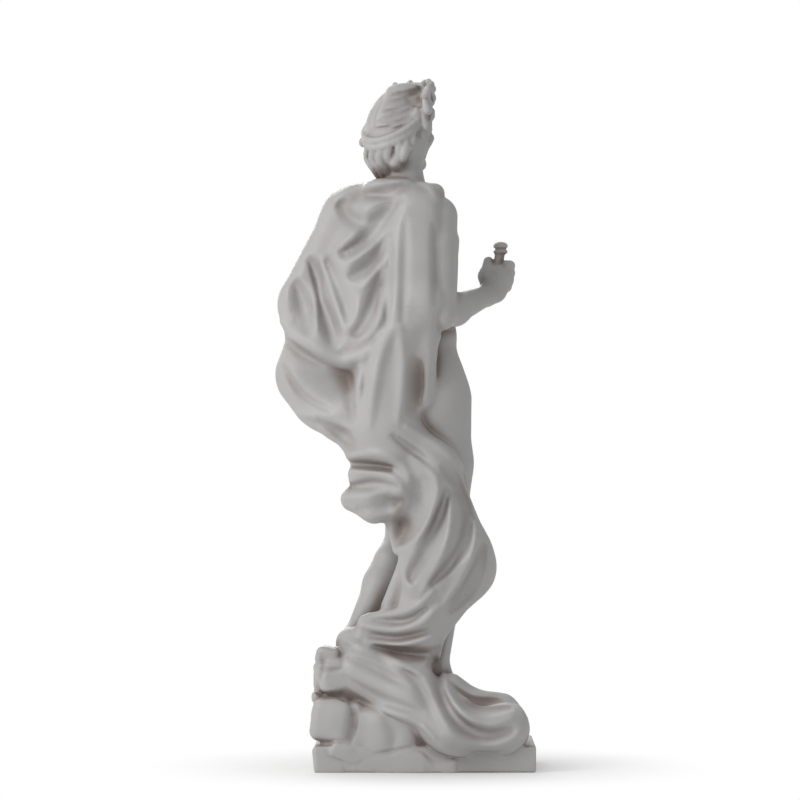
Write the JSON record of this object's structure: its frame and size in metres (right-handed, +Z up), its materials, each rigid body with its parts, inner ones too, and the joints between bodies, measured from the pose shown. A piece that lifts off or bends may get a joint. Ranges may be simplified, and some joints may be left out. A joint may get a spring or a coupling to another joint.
{
  "type": "greek god statue",
  "caption": "Standing marble youth with a leaf wreath and a cloak sweeping behind the legs, carved as one block with its rocky plinth; stands by its own weight",
  "frame": {"origin": "centre of the plinth's flat underside", "axes": "+Z up along the standing figure, -Y is the side the figure faces, +X is the figure's left"},
  "size_m": [0.6769, 0.529, 1.8006],
  "materials": {
    "marble": "honed white marble, greyish, with a warm tint in the deep folds"
  },
  "bodies": {
    "root": {"marble_statue": "marble"}
  },
  "joints": []
}
